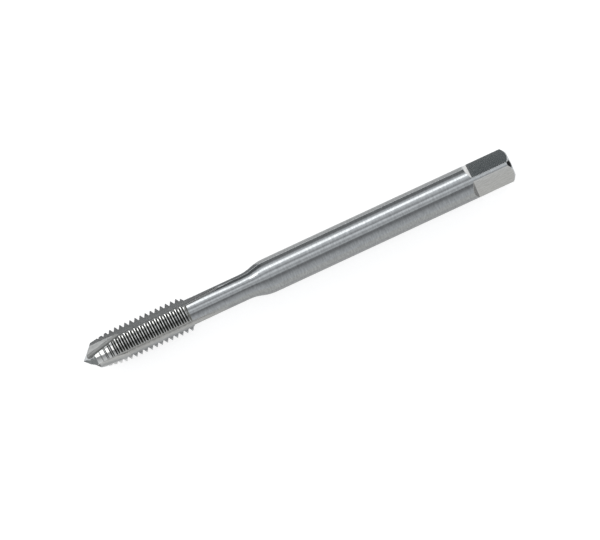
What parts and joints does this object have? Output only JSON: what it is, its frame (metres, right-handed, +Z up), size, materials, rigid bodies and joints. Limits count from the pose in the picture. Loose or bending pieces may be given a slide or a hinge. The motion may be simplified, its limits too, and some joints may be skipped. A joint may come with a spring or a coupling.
{
  "type": "thread tap",
  "caption": "Straight-fluted machine tap for a coarse right-hand thread, with a spiral point, a reduced neck, a cylindrical shank and a driving square.",
  "frame": {"origin": "centre of the end face behind the driving square, on the tap's axis", "axes": "+X along the axis from the threaded point to the square end, +Z up as the tap lies on its side, +Y to its left seen from the point"},
  "size_m": [0.105, 0.008, 0.008],
  "materials": {
    "ground_steel": "finely ground tool steel, bright"
  },
  "bodies": {
    "root": {"tap": "ground_steel"}
  },
  "joints": []
}
